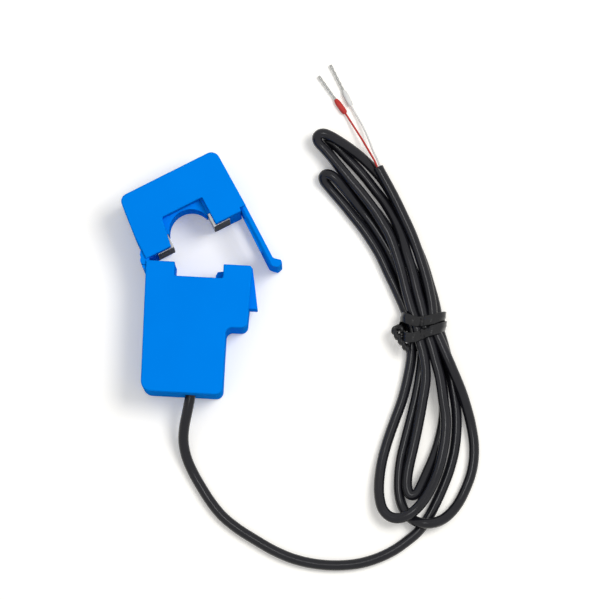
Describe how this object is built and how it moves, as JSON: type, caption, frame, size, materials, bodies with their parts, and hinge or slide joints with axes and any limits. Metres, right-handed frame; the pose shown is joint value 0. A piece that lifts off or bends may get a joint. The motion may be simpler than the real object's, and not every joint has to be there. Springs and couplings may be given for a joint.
{
  "type": "current transformer",
  "caption": "Blue split-core clamp-on current transformer, its hinged cap standing open, with a black lead in a tied hank that ends in red and white ferrules.",
  "frame": {"origin": "on the conductor's axis at the middle of the closed bore, in the back plane and level with the base's parting line", "axes": "+Z along the conductor from the back to the front, +Y towards the cap, +X towards the latch"},
  "size_m": [0.1275, 0.1758, 0.02],
  "materials": {
    "blue_plastic": "semi-gloss moulded",
    "core_steel": "varnished silicon-steel strip stack",
    "natural_nylon": "natural moulded nylon",
    "enamelled_wire": "enamelled copper under clear tape",
    "board_laminate": "solder mask",
    "black_moulding": "moulded",
    "red_insulation": "extruded and moulded",
    "white_insulation": "extruded and moulded",
    "bright_steel": "bright",
    "black_sheath": "soft extruded sheath",
    "tinned_copper": "tinned"
  },
  "bodies": {
    "housing": {"base_shell": "blue_plastic", "base_back_cover": "blue_plastic", "lower_core": "core_steel", "bobbin": "natural_nylon", "secondary_winding": "enamelled_wire", "circuit_board": "board_laminate", "suppressor_diode": "black_moulding", "inner_lead_red": "red_insulation", "inner_lead_white": "white_insulation", "lead_anchor": "black_moulding", "hinge_pin": "bright_steel", "lead_cable": "black_sheath", "lead_hank": "black_sheath", "twist_tie": "black_moulding", "red_core": "red_insulation", "white_core": "white_insulation", "red_ferrule_collar": "red_insulation", "white_ferrule_collar": "white_insulation", "red_ferrule_pin": "tinned_copper", "white_ferrule_pin": "tinned_copper"},
    "cap": {"cap_shell": "blue_plastic", "cap_back_cover": "blue_plastic", "upper_core": "core_steel", "core_spring": "bright_steel"},
    "latch": {"latch_arm": "blue_plastic"}
  },
  "joints": [
    {"name": "cap_hinge", "type": "hinge", "parent": "housing", "child": "cap", "pos_m": [-0.01865, 0.0001, 0.01], "axis": [0, 0, 1], "range_deg": [-30, 60]},
    {"name": "latch_flex", "type": "hinge", "parent": "cap", "child": "latch", "pos_m": [0.01374, 0.02024, 0.01], "axis": [0, 0, 1], "range_deg": [0, 9], "stiffness_Nm_per_rad": 0.6}
  ]
}
